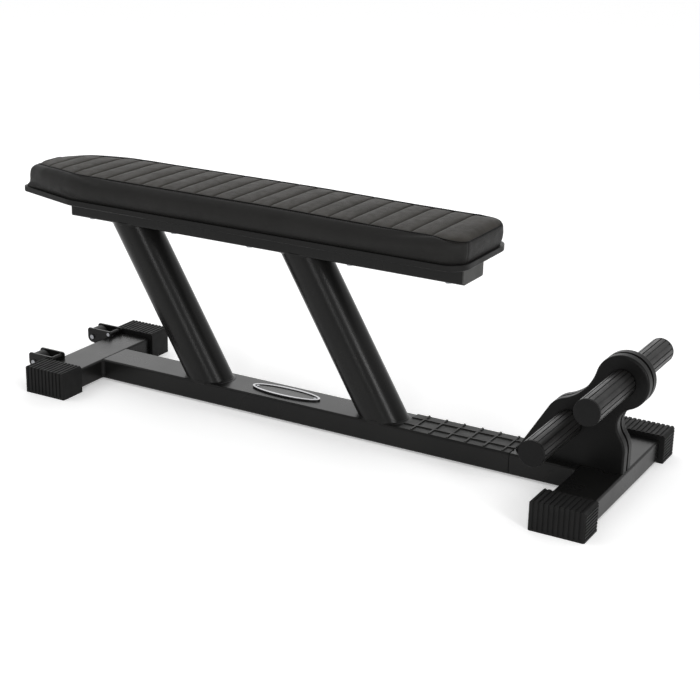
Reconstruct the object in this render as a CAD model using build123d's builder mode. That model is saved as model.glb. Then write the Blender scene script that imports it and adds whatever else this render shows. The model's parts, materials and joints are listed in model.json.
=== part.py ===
"""Flat weight bench with a foot hold, two transport wheels and four ribbed rollers.

Frame: +X runs from the head end to the foot end, +Y is the left side, +Z is up.
The origin is on the floor, half way along and half way across. Millimetres.
"""

from build123d import *
from math import cos, radians, sin, sqrt, tan
import os

os.makedirs("parts", exist_ok=True)

# ---------------------------------------------------------------- driving dimensions

# Rectangular tube shared by the rail, the crossbars and the pad beam
tube_width = 96
tube_height = 48
tube_wall = 3
tube_corner = 5
tube_clearance = 5  # floor to the underside of the lower tubes

# Where the frame members stand
rear_bar_x = -624
front_bar_x = 699
rear_bar_length = 406
front_bar_length = 516
front_rail_length = 151  # from the front crossbar back to the seam in the rail
rail_seam = 1.4  # width of that seam, which the joiner bridges
beam_rear_x = -655
beam_front_x = 376
beam_bottom = 401

# Leaning posts, oval tube as wide as the beam
post_flat = 5  # straight stretch between the two round halves of the oval
post_wall = 3
post_lean = 31.2  # degrees from vertical, heads towards -X
rear_post_head_x = -504
front_post_head_x = -37

# Joiner inside the rail seam
joiner_length = 160
joiner_wall = 4
joiner_gap = 0.3
joiner_screw_offset = 45
joiner_screw_spread = 44
joiner_screw_tail = 2  # how far a screw stands out of the joiner's wall
button_radius = 7
button_height = 2.8

# Screws and bolts that are not given their own size
m8_radius = 4
m8_clearance = 0.2
thread_fit = 0.05

# Rubber foot caps
cap_fit = 0.2
cap_top_wall = 12
cap_end_wall = 6
rear_cap_side_wall = 9.5
rear_cap_length = 69
front_cap_side_wall = 12
front_cap_length = 68
cap_corner = 3
cap_edge = 5
cap_groove = 1.6
cap_groove_width = 4.2
cap_side_groove_width = 3
cap_ribs = 11  # across the top and the end face
cap_side_ribs = 9  # up the outer side face

# Plugs in the ends of the pad beam
plug_face = 3
plug_depth = 16
plug_fit = 0.2

# Pad
pad_rear_x = -780
pad_front_x = 404
pad_width = 250
pad_head_width = 146
pad_taper_length = 180
pad_head_corner = 16
pad_shoulder_corner = 90
pad_foot_corner = 46
board_thickness = 13
board_edge = 1.5
cushion_height = 62
cushion_inset = 2
cushion_edge = 16
cushion_fall = 10  # how far the cushion's top comes down at the head end
cushion_fall_length = 130

# Bolts that hold the pad board on the beam
pad_bolt_end_margin = 45  # from the ends of the beam
pad_bolt_post_margin = 130  # from the middle of a post's head
pad_bolt_spread = 50
pad_bolt_head = 7
pad_bolt_head_height = 4.5
washer_radius = 9
washer_thickness = 1.6
tee_flange_radius = 11
tee_flange = 1.5
tee_barrel_wall = 1.2
tee_fit = 0.1
hex_socket_radius = 2.9  # across the corners of the key, halved
hex_socket_depth = 2.2

# Transport wheels
wheel_radius = 20
wheel_axle_reach = 44  # behind the crossbar
wheel_axle_drop = 7  # below the top of the crossbar
tyre_thickness = 7
tyre_fit = 0.05
tyre_edge = 2.3
tyre_inset = 2  # each side, from the faces of the hub
hub_width = 36
hub_side_gap = 1
axle_radius = 4
axle_running_gap = 0.05
bracket_cap_gap = 4.2  # from a bracket to the foot cap beside it
cheek_thickness = 4
cheek_rise = 15  # above the crossbar
cheek_nose = 15  # around the axle
cheek_lap = 14  # how far the cheeks reach over the crossbar
web_drop = 17  # how far the web hangs down the rear of the crossbar
axle_head_radius = 5.5
axle_head_height = 4
axle_nut_flats = 13
axle_nut_height = 6
tie_inset = 6  # in from the rear of the crossbar
tie_rise = 7.5  # above the crossbar
tie_radius = 2.5
tie_head_radius = 4.5
tie_head_height = 1.6
tie_spacer_radius = 5

# Foot hold
hold_front_margin = 3  # in from the front of the front crossbar
lower_axle_setback = 126  # behind the front of the foot hold
lower_axle_rise = 87  # above the crossbar
upper_axle_setback = 18
upper_axle_rise = 197
lower_lobe_radius = 54
upper_lobe_radius = 58
waist_radius = 105
neck_radius = 42
neck_angle = 23  # degrees off straight down, from the upper axle
skirt_radius = 60
hold_back_slope = 59  # degrees above the rail
hold_width = 48
plate_thickness = 8
plate_inset = 4
cover_wall = 3
cover_edge = 5
recess_margin = 3  # around a roller
recess_depth = 3
boss_radius = 8
cover_screw_radius = 3
cover_screw_head = 5.5
cover_screw_head_height = 4
cover_screw_head_fit = 0.1
cover_screw_sink = 0.1  # below the face of the cover
cover_screw_tail = 18  # past the middle of the plate
cover_screw_recess_gap = 0.5
cover_screw_rise = 22  # above the crossbar, for the two low screws
cover_screw_front_margin = 22
cover_screw_back_margin = 44

# Rollers
axle_tube_radius = 15
axle_tube_wall = 3
axle_tube_fit = 0.1
roller_radius = 28
roller_reach = 216  # centre line to the face of the end cap
roller_running_gap = 0.05
liner_wall = 3
liner_fit = 0.05
roller_grooves = 16
roller_groove_width = 2.6
roller_groove_depth = 1.8
roller_end_gap = 0.6
end_cap_thickness = 5
end_cap_edge = 1.2
end_cap_plug = 24
end_cap_fit = 0.05

# Tread mat on the rail
mat_post_gap = 3  # in front of the front post
mat_side_margin = 2
mat_base = 1.5
mat_rib_height = 2.5
mat_rib = 4
mat_first_pitch = 30
mat_pitch = 43.5
mat_middle_row = 36

# Blank name plate
plate_from_post = 211  # from the foot of the rear post to the middle of the plate
plate_length = 180
plate_breadth = 52
plate_height = 4
plate_rim = 6
plate_recess = 2
rivet_end_margin = 13
rivet_radius = 2
rivet_clearance = 0.1
rivet_tail = 1  # how far a rivet stands out inside the rail
rivet_head_radius = 3.6
rivet_head_height = 1.4

# ---------------------------------------------------------------- derived levels

rail_top = tube_clearance + tube_height
rail_mid = tube_clearance + tube_height / 2
beam_top = beam_bottom + tube_height
board_top = beam_top + board_thickness
rear_bar_rear_x = rear_bar_x - tube_width / 2
rear_bar_front_x = rear_bar_x + tube_width / 2
front_bar_rear_x = front_bar_x - tube_width / 2
front_bar_front_x = front_bar_x + tube_width / 2
joint_x = front_bar_rear_x - front_rail_length
inner_width = tube_width - 2 * tube_wall
inner_height = tube_height - 2 * tube_wall
inner_corner = tube_corner - tube_wall
m8_hole = m8_radius + m8_clearance
sides = {"left": 1, "right": -1}
inward = {1: Align.MAX, -1: Align.MIN}  # how a box reaches in from a face that looks along + or -

post_rise = beam_bottom - rail_top
post_run = post_rise * tan(radians(post_lean))
rear_post_foot_x = rear_post_head_x + post_run
front_post_foot_x = front_post_head_x + post_run
post_depth = tube_width + post_flat
post_half_span = post_depth / 2 / cos(radians(post_lean))  # half the length of the level cut


def finish(piece, name):
    """Label a piece and write it as its own STEP file."""
    piece.part.label = name
    export_step(piece.part, f"parts/{name}.step")


def box_tube_section():
    """Hollow rectangular section, drawn in the current sketch."""
    RectangleRounded(tube_width, tube_height, tube_corner)
    RectangleRounded(inner_width, inner_height, inner_corner, mode=Mode.SUBTRACT)


def upright_rods(spots, z_from, z_to, radius, bore=0, mode=Mode.ADD):
    """Round rods or tubes along Z at each spot, added to or cut from the current part."""
    with BuildSketch(Plane.XY.offset(z_from)) as section:
        with Locations(*spots):
            Circle(radius)
            if bore:
                Circle(bore, mode=Mode.SUBTRACT)
    extrude(section.sketch, amount=z_to - z_from, mode=mode)


def cut_hex_sockets(spots, z_face):
    """Hexagon sockets in screw heads that look down, cut upwards from their faces."""
    with BuildSketch(Plane.XY.offset(z_face)) as section:
        with Locations(*spots):
            RegularPolygon(hex_socket_radius, 6)
    extrude(section.sketch, amount=hex_socket_depth, mode=Mode.SUBTRACT)


def across(x, z, y=0):
    """Plane through (x, y, z) whose normal is +Y, with local x along -X and local y up."""
    return Plane(origin=(x, y, z), x_dir=(-1, 0, 0), z_dir=(0, 1, 0))


def cross_section_plane(y):
    """Plane at the given Y whose local x and y are the bench's X and Z; its normal is -Y."""
    return Plane(origin=(0, y, 0), x_dir=(1, 0, 0), z_dir=(0, -1, 0))


def along(x, z):
    """Plane through (x, 0, z) whose normal is +X."""
    return Plane(origin=(x, 0, z), x_dir=(0, 1, 0), z_dir=(1, 0, 0))


# ---------------------------------------------------------------- frame

joiner_screw_spots = [
    (joint_x + end * joiner_screw_offset, side * joiner_screw_spread / 2)
    for end in (-1, 1)
    for side in (-1, 1)
]
plate_centre_x = rear_post_foot_x + plate_from_post
rivet_offset = plate_length / 2 - rivet_end_margin
rivet_spots = [(plate_centre_x - rivet_offset, 0), (plate_centre_x + rivet_offset, 0)]


def make_rail(name, x_start, x_end, screw_holes, rivet_holes=()):
    """Floor tube along X, with screw holes in its underside and rivet holes in its top."""
    with BuildPart() as rail:
        with BuildSketch(along(x_start, rail_mid)):
            box_tube_section()
        extrude(amount=x_end - x_start)
        upright_rods(screw_holes, tube_clearance, tube_clearance + tube_wall, m8_hole, mode=Mode.SUBTRACT)
        if rivet_holes:
            hole = rivet_radius + rivet_clearance
            upright_rods(rivet_holes, rail_top - tube_wall, rail_top, hole, mode=Mode.SUBTRACT)
    finish(rail, name)


make_rail("main_rail", rear_bar_front_x, joint_x, joiner_screw_spots[:2], rivet_spots)
make_rail("front_rail", joint_x + rail_seam, front_bar_rear_x, joiner_screw_spots[2:])

# Spigot that carries the load across the rail seam
joiner_width = inner_width - 2 * joiner_gap
joiner_height = inner_height - 2 * joiner_gap
joiner_floor = tube_clearance + tube_wall + joiner_gap
joiner_hole = m8_radius + thread_fit
with BuildPart() as rail_joiner:
    with BuildSketch(along(joint_x, rail_mid)):
        RectangleRounded(joiner_width, joiner_height, inner_corner)
        Rectangle(joiner_width - 2 * joiner_wall, joiner_height - 2 * joiner_wall, mode=Mode.SUBTRACT)
    extrude(amount=joiner_length / 2, both=True)
    upright_rods(
        joiner_screw_spots, joiner_floor, joiner_floor + joiner_wall, joiner_hole, mode=Mode.SUBTRACT
    )
finish(rail_joiner, "rail_joiner")

joiner_screw_top = joiner_floor + joiner_wall + joiner_screw_tail
with BuildPart() as joiner_screws:
    upright_rods(joiner_screw_spots, tube_clearance - button_height, tube_clearance, button_radius)
    upright_rods(joiner_screw_spots, tube_clearance, joiner_screw_top, m8_radius)
    cut_hex_sockets(joiner_screw_spots, tube_clearance - button_height)
finish(joiner_screws, "joiner_screws")


def make_crossbar(name, x, length):
    """Floor tube across the bench."""
    with BuildPart() as bar:
        with BuildSketch(across(x, rail_mid)):
            box_tube_section()
        extrude(amount=length / 2, both=True)
    finish(bar, name)


make_crossbar("rear_crossbar", rear_bar_x, rear_bar_length)
make_crossbar("front_crossbar", front_bar_x, front_bar_length)

lean_x = cos(radians(post_lean))
lean_z = sin(radians(post_lean))


def make_post(name, head_x, foot_x):
    """Oval tube from the top of the rail to the underside of the beam, cut level at both."""
    middle = ((head_x + foot_x) / 2, 0, (rail_top + beam_bottom) / 2)
    with BuildPart() as post:
        with BuildSketch(Plane(origin=middle, x_dir=(lean_x, 0, lean_z), z_dir=(-lean_z, 0, lean_x))):
            SlotCenterToCenter(post_flat, tube_width)
            SlotCenterToCenter(post_flat, tube_width - 2 * post_wall, mode=Mode.SUBTRACT)
        extrude(amount=post_rise, both=True)
        with Locations(middle):
            Box(post_run + 2 * post_half_span, tube_width, post_rise, mode=Mode.INTERSECT)
    finish(post, name)


make_post("rear_post", rear_post_head_x, rear_post_foot_x)
make_post("front_post", front_post_head_x, front_post_foot_x)

# ---------------------------------------------------------------- pad beam

pad_bolt_stations = (
    beam_rear_x + pad_bolt_end_margin,
    rear_post_head_x + pad_bolt_post_margin,
    front_post_head_x - pad_bolt_post_margin,
    front_post_head_x + pad_bolt_post_margin,
    beam_front_x - pad_bolt_end_margin,
)
pad_bolt_spots = [(x, side * pad_bolt_spread / 2) for x in pad_bolt_stations for side in (-1, 1)]
beam_mid = beam_bottom + tube_height / 2

with BuildPart() as pad_beam:
    with BuildSketch(along(beam_rear_x + plug_face, beam_mid)):
        box_tube_section()
    extrude(amount=beam_front_x - beam_rear_x - 2 * plug_face)
    upright_rods(pad_bolt_spots, beam_bottom, beam_top, m8_hole, mode=Mode.SUBTRACT)
finish(pad_beam, "pad_beam")


def make_beam_plug(name, face_x, direction):
    """Plug with a flat face that covers the tube end and a body that goes in along +X or -X."""
    with BuildPart() as plug:
        with BuildSketch(along(face_x, beam_mid)):
            RectangleRounded(tube_width, tube_height, tube_corner)
        extrude(amount=direction * plug_face)
        with BuildSketch(along(face_x + direction * plug_face, beam_mid)):
            RectangleRounded(inner_width - 2 * plug_fit, inner_height - 2 * plug_fit, inner_corner)
        extrude(amount=direction * plug_depth)
    finish(plug, name)


make_beam_plug("beam_plug_head", beam_rear_x, 1)
make_beam_plug("beam_plug_foot", beam_front_x, -1)

# ---------------------------------------------------------------- foot caps

cap_height = rail_top + cap_top_wall


def make_foot_cap(name, bar_x, bar_length, side_wall, cap_length, side, outer):
    """Moulded rubber sleeve on the end of a crossbar.

    side is +1 or -1 along Y. outer is +1 or -1 along X, the side face that has level grooves.
    """
    tube_end = side * bar_length / 2
    outer_end = tube_end + side * (cap_end_wall + cap_fit)
    mid_y = outer_end - side * cap_length / 2
    cap_width = tube_width + 2 * side_wall
    rib_pitch = cap_width / cap_ribs
    side_rib_pitch = cap_height / cap_side_ribs
    groove_spots_x = [bar_x + (n - cap_ribs / 2) * rib_pitch for n in range(1, cap_ribs)]
    with BuildPart() as cap:
        with BuildSketch(Plane.XY):
            with Locations((bar_x, mid_y)):
                Rectangle(cap_width, cap_length)
        extrude(amount=cap_height)
        outer_uprights = cap.edges().filter_by(Axis.Z).group_by(Axis.Y)[-1 if side > 0 else 0]
        chamfer(outer_uprights, cap_corner)
        chamfer(cap.faces().sort_by(Axis.Z)[-1].edges().filter_by(Axis.Y), cap_edge)
        with BuildSketch(across(bar_x, rail_mid, tube_end + side * cap_fit)):
            RectangleRounded(tube_width + 2 * cap_fit, tube_height + 2 * cap_fit, tube_corner)
        extrude(amount=-side * cap_length, mode=Mode.SUBTRACT)
        # Grooves along Y over the top
        with Locations(*[(x, mid_y, cap_height) for x in groove_spots_x]):
            Box(
                cap_groove_width, cap_length, cap_groove,
                align=(Align.CENTER, Align.CENTER, Align.MAX), mode=Mode.SUBTRACT,
            )
        # The same grooves down the end face
        with Locations(*[(x, outer_end, cap_height) for x in groove_spots_x]):
            Box(
                cap_groove_width, cap_groove, cap_height - cap_edge,
                align=(Align.CENTER, inward[side], Align.MAX), mode=Mode.SUBTRACT,
            )
        # Level grooves along the outer side face
        side_face_x = bar_x + outer * cap_width / 2
        with Locations(*[(side_face_x, mid_y, n * side_rib_pitch) for n in range(1, cap_side_ribs)]):
            Box(
                cap_groove, cap_length, cap_side_groove_width,
                align=(inward[outer], Align.CENTER, Align.CENTER), mode=Mode.SUBTRACT,
            )
    finish(cap, name)


for side_name, side_sign in sides.items():
    make_foot_cap(
        f"rear_foot_cap_{side_name}",
        rear_bar_x, rear_bar_length, rear_cap_side_wall, rear_cap_length, side_sign, -1,
    )
    make_foot_cap(
        f"front_foot_cap_{side_name}",
        front_bar_x, front_bar_length, front_cap_side_wall, front_cap_length, side_sign, 1,
    )

# ---------------------------------------------------------------- pad

pad_taper_x = pad_rear_x + pad_taper_length


def pad_plan(inset):
    """Pad plan: straight sides, a head end that narrows, and rounded corners."""
    rear_x = pad_rear_x + inset
    front_x = pad_front_x - inset
    half = pad_width / 2 - inset
    head_half = pad_head_width / 2 - inset
    with BuildSketch() as plan:
        with BuildLine():
            Polyline(
                (rear_x, -head_half),
                (pad_taper_x, -half),
                (front_x, -half),
                (front_x, half),
                (pad_taper_x, half),
                (rear_x, head_half),
                close=True,
            )
        make_face()
        fillet(plan.vertices().group_by(Axis.X)[0], pad_head_corner)
        fillet(plan.vertices().group_by(Axis.X)[-1], pad_foot_corner)
        shoulders = plan.vertices().filter_by(lambda corner: abs(corner.X - pad_taper_x) < board_edge)
        fillet(shoulders, pad_shoulder_corner)
    return plan.sketch


tee_bore = m8_radius + thread_fit
tee_barrel = m8_radius + tee_barrel_wall

with BuildPart() as pad_board:
    with BuildSketch(Plane.XY.offset(beam_top)):
        add(pad_plan(0))
    extrude(amount=board_thickness)
    chamfer(pad_board.faces().sort_by(Axis.Z)[0].edges(), board_edge)
    upright_rods(pad_bolt_spots, beam_top, board_top, tee_barrel + tee_fit, mode=Mode.SUBTRACT)
    upright_rods(
        pad_bolt_spots, board_top - tee_flange, board_top, tee_flange_radius + tee_fit, mode=Mode.SUBTRACT
    )
finish(pad_board, "pad_board")

cushion_top = board_top + cushion_height
cushion_rear_x = pad_rear_x + cushion_inset
with BuildPart() as pad_cushion:
    with BuildSketch(Plane.XY.offset(board_top)):
        add(pad_plan(cushion_inset))
    extrude(amount=cushion_height)
    with BuildSketch(cross_section_plane(pad_width / 2)):
        with BuildLine():
            Polyline(
                (cushion_rear_x + cushion_fall_length, cushion_top),
                (cushion_rear_x, cushion_top),
                (cushion_rear_x, cushion_top - cushion_fall),
            )
            ThreePointArc(
                (cushion_rear_x, cushion_top - cushion_fall),
                (cushion_rear_x + cushion_fall_length / 2, cushion_top - cushion_fall / 4),
                (cushion_rear_x + cushion_fall_length, cushion_top),
            )
        make_face()
    extrude(amount=pad_width, mode=Mode.SUBTRACT)
    rim = [edge for edge in pad_cushion.edges() if edge.center().Z > board_top + cushion_height / 2]
    fillet(rim, cushion_edge)
finish(pad_cushion, "pad_cushion")

with BuildPart() as pad_tee_nuts:
    upright_rods(pad_bolt_spots, beam_top, board_top, tee_barrel, tee_bore)
    upright_rods(pad_bolt_spots, board_top - tee_flange, board_top, tee_flange_radius, tee_bore)
finish(pad_tee_nuts, "pad_tee_nuts")

pad_bolt_seat = beam_bottom - washer_thickness
with BuildPart() as pad_washers:
    upright_rods(pad_bolt_spots, pad_bolt_seat, beam_bottom, washer_radius, m8_hole)
finish(pad_washers, "pad_washers")

with BuildPart() as pad_bolts:
    upright_rods(pad_bolt_spots, pad_bolt_seat - pad_bolt_head_height, pad_bolt_seat, pad_bolt_head)
    upright_rods(pad_bolt_spots, pad_bolt_seat, board_top - tee_flange, m8_radius)
    cut_hex_sockets(pad_bolt_spots, pad_bolt_seat - pad_bolt_head_height)
finish(pad_bolts, "pad_bolts")

# ---------------------------------------------------------------- transport wheels

wheel_axle_x = rear_bar_rear_x - wheel_axle_reach
wheel_axle_z = rail_top - wheel_axle_drop
cheek_nose_x = wheel_axle_x - cheek_nose
cheek_top = rail_top + cheek_rise
web_x = rear_bar_rear_x - cheek_thickness
web_bottom = rail_top - web_drop
tie_x = rear_bar_rear_x + tie_inset
tie_z = rail_top + tie_rise
bracket_outer_y = rear_bar_length / 2 + cap_end_wall + cap_fit - rear_cap_length - bracket_cap_gap
bracket_width = hub_width + 2 * (hub_side_gap + cheek_thickness)
tyre_width = hub_width - 2 * tyre_inset
hub_radius = wheel_radius - tyre_thickness


def cheek_profile():
    """Side plate of the wheel bracket, notched to sit over the crossbar's rear top edge."""
    lap_x = rear_bar_rear_x + cheek_lap
    nose_diagonal = cheek_nose / sqrt(2)
    with BuildSketch() as cheek:
        with BuildLine():
            Polyline(
                (lap_x, rail_top),
                (lap_x, cheek_top - cheek_thickness),
                (lap_x - cheek_thickness, cheek_top),
                (cheek_nose_x + cheek_thickness, cheek_top),
                (cheek_nose_x, cheek_top - cheek_thickness),
                (cheek_nose_x, wheel_axle_z),
            )
            ThreePointArc(
                (cheek_nose_x, wheel_axle_z),
                (wheel_axle_x - nose_diagonal, wheel_axle_z - nose_diagonal),
                (wheel_axle_x, wheel_axle_z - cheek_nose),
            )
            Polyline(
                (wheel_axle_x, wheel_axle_z - cheek_nose),
                (web_x, web_bottom),
                (rear_bar_rear_x, web_bottom),
                (rear_bar_rear_x, rail_top),
                (lap_x, rail_top),
            )
        make_face()
    return cheek.sketch


def round_bar(x, z, y_from, y_to, radius, bore=0):
    """Round bar or tube along Y, added to the current part."""
    with BuildSketch(cross_section_plane(y_to)) as section:
        with Locations((x, z)):
            Circle(radius)
            if bore:
                Circle(bore, mode=Mode.SUBTRACT)
    extrude(section.sketch, amount=y_to - y_from)


def make_wheel(side_name, side):
    """Bracket, wheel, axle bolt and nut on one side of the rear crossbar."""
    y_low, y_high = sorted((side * (bracket_outer_y - bracket_width), side * bracket_outer_y))
    wheel_y = (y_low + y_high) / 2

    with BuildPart() as bracket:
        for face_y in (y_high, y_low + cheek_thickness):
            with BuildSketch(cross_section_plane(face_y)):
                add(cheek_profile())
            extrude(amount=cheek_thickness)
        with Locations(((web_x + rear_bar_rear_x) / 2, wheel_y, (web_bottom + rail_top) / 2)):
            Box(cheek_thickness, bracket_width, web_drop)
        with BuildSketch(cross_section_plane(y_high)):
            with Locations((wheel_axle_x, wheel_axle_z)):
                Circle(axle_radius + thread_fit)
            with Locations((tie_x, tie_z)):
                Circle(tie_radius + thread_fit)
        extrude(amount=bracket_width, mode=Mode.SUBTRACT)
    finish(bracket, f"wheel_bracket_{side_name}")

    with BuildPart() as hub:
        round_bar(
            wheel_axle_x, wheel_axle_z, wheel_y - hub_width / 2, wheel_y + hub_width / 2,
            hub_radius, axle_radius + axle_running_gap,
        )
    finish(hub, f"wheel_hub_{side_name}")

    with BuildPart() as tyre:
        round_bar(
            wheel_axle_x, wheel_axle_z, wheel_y - tyre_width / 2, wheel_y + tyre_width / 2,
            wheel_radius, hub_radius + tyre_fit,
        )
        fillet(tyre.edges().filter_by(GeomType.CIRCLE).group_by(SortBy.RADIUS)[-1], tyre_edge)
    finish(tyre, f"wheel_tyre_{side_name}")

    with BuildPart() as axle:
        round_bar(wheel_axle_x, wheel_axle_z, y_low - axle_head_height, y_low, axle_head_radius)
        round_bar(wheel_axle_x, wheel_axle_z, y_low, y_high + axle_nut_height, axle_radius)
    finish(axle, f"wheel_axle_bolt_{side_name}")

    with BuildPart() as nut:
        with BuildSketch(cross_section_plane(y_high + axle_nut_height)):
            with Locations((wheel_axle_x, wheel_axle_z)):
                RegularPolygon(axle_nut_flats / 2, 6, major_radius=False)
                Circle(axle_radius + thread_fit, mode=Mode.SUBTRACT)
        extrude(amount=axle_nut_height)
    finish(nut, f"wheel_axle_nut_{side_name}")

    with BuildPart() as tie:
        round_bar(tie_x, tie_z, y_low, y_high, tie_radius)
        round_bar(tie_x, tie_z, y_low - tie_head_height, y_low, tie_head_radius)
        round_bar(tie_x, tie_z, y_high, y_high + tie_head_height, tie_head_radius)
    finish(tie, f"bracket_tie_rivet_{side_name}")

    with BuildPart() as spacer:
        round_bar(
            tie_x, tie_z, y_low + cheek_thickness, y_high - cheek_thickness,
            tie_spacer_radius, tie_radius + thread_fit,
        )
    finish(spacer, f"bracket_spacer_{side_name}")


for side_name, side_sign in sides.items():
    make_wheel(side_name, side_sign)

# ---------------------------------------------------------------- foot hold

hold_half = hold_width / 2
plate_half = plate_thickness / 2
cover_depth = hold_half - plate_half
recess_radius = roller_radius + recess_margin
hold_front_x = front_bar_front_x - hold_front_margin
lower_axle = Vector(hold_front_x - lower_axle_setback, rail_top + lower_axle_rise)
upper_axle = Vector(hold_front_x - upper_axle_setback, rail_top + upper_axle_rise)
axle_spots = (lower_axle, upper_axle)
axle_line = upper_axle - lower_axle
uphill = axle_line.normalized()
outward = Vector(-uphill.Y, uphill.X)
# The waist's arc touches both lobes from outside
lower_reach = lower_lobe_radius + waist_radius
upper_reach = upper_lobe_radius + waist_radius
waist_rise = (lower_reach**2 - upper_reach**2 + axle_line.length**2) / (2 * axle_line.length)
waist_centre = lower_axle + uphill * waist_rise + outward * sqrt(lower_reach**2 - waist_rise**2)
neck_direction = Vector(sin(radians(neck_angle)), -cos(radians(neck_angle)))
neck_centre = upper_axle + neck_direction * (upper_lobe_radius + neck_radius)
skirt_x = hold_front_x - skirt_radius
skirt_drop = sqrt((neck_radius + skirt_radius) ** 2 - (neck_centre.X - skirt_x) ** 2)
skirt_centre = Vector(skirt_x, neck_centre.Y - skirt_drop)
back_direction = Vector(cos(radians(hold_back_slope)), sin(radians(hold_back_slope)))
back_normal = Vector(-back_direction.Y, back_direction.X)


def towards(centre, target, radius):
    """Point on a circle in the direction of a target."""
    return centre + (target - centre).normalized() * radius


def arc_between(centre, radius, start, end, long_way=False):
    """Arc about a centre from start to end, the short way or the long way round."""
    middle = ((start - centre) + (end - centre)).normalized() * radius
    if long_way:
        middle = -middle
    ThreePointArc(start, centre + middle, end)


def back_edge(inset, base):
    """Foot and top of the sloping back edge, inset by a margin and standing on base."""
    top = lower_axle + back_normal * (lower_lobe_radius - inset)
    foot = top - back_direction * ((top.Y - base) / back_direction.Y)
    return foot, top


def hold_profile(inset, base):
    """Outline of the foot hold, X across and Z up, inset by a margin and standing on base."""
    lower_lobe = lower_lobe_radius - inset
    upper_lobe = upper_lobe_radius - inset
    waist = waist_radius + inset
    neck = neck_radius + inset
    skirt = skirt_radius - inset
    back_foot, back_top = back_edge(inset, base)
    lower_out = towards(lower_axle, waist_centre, lower_lobe)
    upper_in = towards(upper_axle, waist_centre, upper_lobe)
    upper_out = towards(upper_axle, neck_centre, upper_lobe)
    neck_out = towards(neck_centre, skirt_centre, neck)
    skirt_end = skirt_centre + Vector(skirt, 0)
    front_foot = Vector(hold_front_x - inset, base)
    with BuildSketch() as outline:
        with BuildLine():
            Line(back_foot, back_top)
            arc_between(lower_axle, lower_lobe, back_top, lower_out)
            arc_between(waist_centre, waist, lower_out, upper_in)
            arc_between(upper_axle, upper_lobe, upper_in, upper_out, long_way=True)
            arc_between(neck_centre, neck, upper_out, neck_out)
            arc_between(skirt_centre, skirt, neck_out, skirt_end)
            Line(skirt_end, front_foot)
            Line(front_foot, back_foot)
        make_face()
    return outline.sketch


cover_screw_reach = recess_radius + cover_screw_head + cover_screw_recess_gap
cover_screw_spots = (
    Vector(back_edge(0, rail_top)[0].X + cover_screw_back_margin, rail_top + cover_screw_rise),
    Vector(hold_front_x - cover_screw_front_margin, rail_top + cover_screw_rise),
    lower_axle + back_normal * cover_screw_reach,
    upper_axle + outward * cover_screw_reach,
)

with BuildPart() as hold_plate:
    with BuildSketch(cross_section_plane(plate_half)):
        add(hold_profile(plate_inset, rail_top))
        with Locations(*axle_spots):
            Circle(axle_tube_radius + axle_tube_fit, mode=Mode.SUBTRACT)
        with Locations(*cover_screw_spots):
            Circle(cover_screw_radius + thread_fit, mode=Mode.SUBTRACT)
    extrude(amount=plate_thickness)
finish(hold_plate, "foot_hold_plate")


def make_cover(name, side):
    """Moulded shell on one side of the plate, open towards the plate."""
    outer_y = side * hold_half
    with BuildPart() as cover:
        with BuildSketch(cross_section_plane(outer_y)):
            add(hold_profile(0, rail_top))
        extrude(amount=side * cover_depth)
        outer_face = cover.faces().filter_by(Axis.Y).sort_by(Axis.Y)[-1 if side > 0 else 0]
        rim = [edge for edge in outer_face.edges() if edge.center().Z > rail_top + cover_edge]
        fillet(rim, cover_edge)
        with BuildSketch(cross_section_plane(outer_y - side * cover_wall)):
            add(hold_profile(cover_wall, rail_top + cover_wall))
            with Locations(*axle_spots):
                Circle(recess_radius + cover_wall, mode=Mode.SUBTRACT)
            with Locations(*cover_screw_spots):
                Circle(boss_radius, mode=Mode.SUBTRACT)
        extrude(amount=side * (cover_depth - cover_wall), mode=Mode.SUBTRACT)
        with BuildSketch(cross_section_plane(outer_y)):
            with Locations(*axle_spots):
                Circle(recess_radius)
        extrude(amount=side * recess_depth, mode=Mode.SUBTRACT)
        with BuildSketch(cross_section_plane(outer_y)):
            with Locations(*axle_spots):
                Circle(axle_tube_radius + axle_tube_fit)
        extrude(amount=side * cover_depth, mode=Mode.SUBTRACT)
        with BuildSketch(cross_section_plane(side * plate_half)):
            with Locations(*cover_screw_spots):
                Circle(cover_screw_radius + thread_fit)
        screw_depth = cover_depth if side > 0 else cover_depth - cover_wall
        extrude(amount=-side * screw_depth, mode=Mode.SUBTRACT)
        if side > 0:
            with BuildSketch(cross_section_plane(outer_y)):
                with Locations(*cover_screw_spots):
                    Circle(cover_screw_head + cover_screw_head_fit)
            extrude(amount=side * cover_screw_head_height, mode=Mode.SUBTRACT)
    finish(cover, name)


for side_name, side_sign in sides.items():
    make_cover(f"foot_hold_cover_{side_name}", side_sign)

screw_seat_y = hold_half - cover_screw_head_height
with BuildPart() as cover_screws:
    for spot in cover_screw_spots:
        round_bar(spot.X, spot.Y, screw_seat_y, hold_half - cover_screw_sink, cover_screw_head)
        round_bar(spot.X, spot.Y, -cover_screw_tail, screw_seat_y, cover_screw_radius)
    with BuildSketch(cross_section_plane(hold_half)):
        with Locations(*cover_screw_spots):
            RegularPolygon(hex_socket_radius, 6)
    extrude(amount=hex_socket_depth, mode=Mode.SUBTRACT)
finish(cover_screws, "cover_screws")

# ---------------------------------------------------------------- rollers

axle_tube_bore = axle_tube_radius - axle_tube_wall
axle_end_y = roller_reach - end_cap_thickness
roller_inner_y = hold_half - recess_depth + roller_end_gap
roller_outer_y = axle_end_y - roller_end_gap
liner_bore = axle_tube_radius + roller_running_gap
liner_outer = liner_bore + liner_wall


def ribbed_section(x, z):
    """Roller section: broad lands divided by narrow grooves."""
    with Locations((x, z)):
        Circle(roller_radius)
        with PolarLocations(roller_radius, roller_grooves):
            Rectangle(2 * roller_groove_depth, roller_groove_width, mode=Mode.SUBTRACT)
        Circle(liner_outer + liner_fit, mode=Mode.SUBTRACT)


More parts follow.
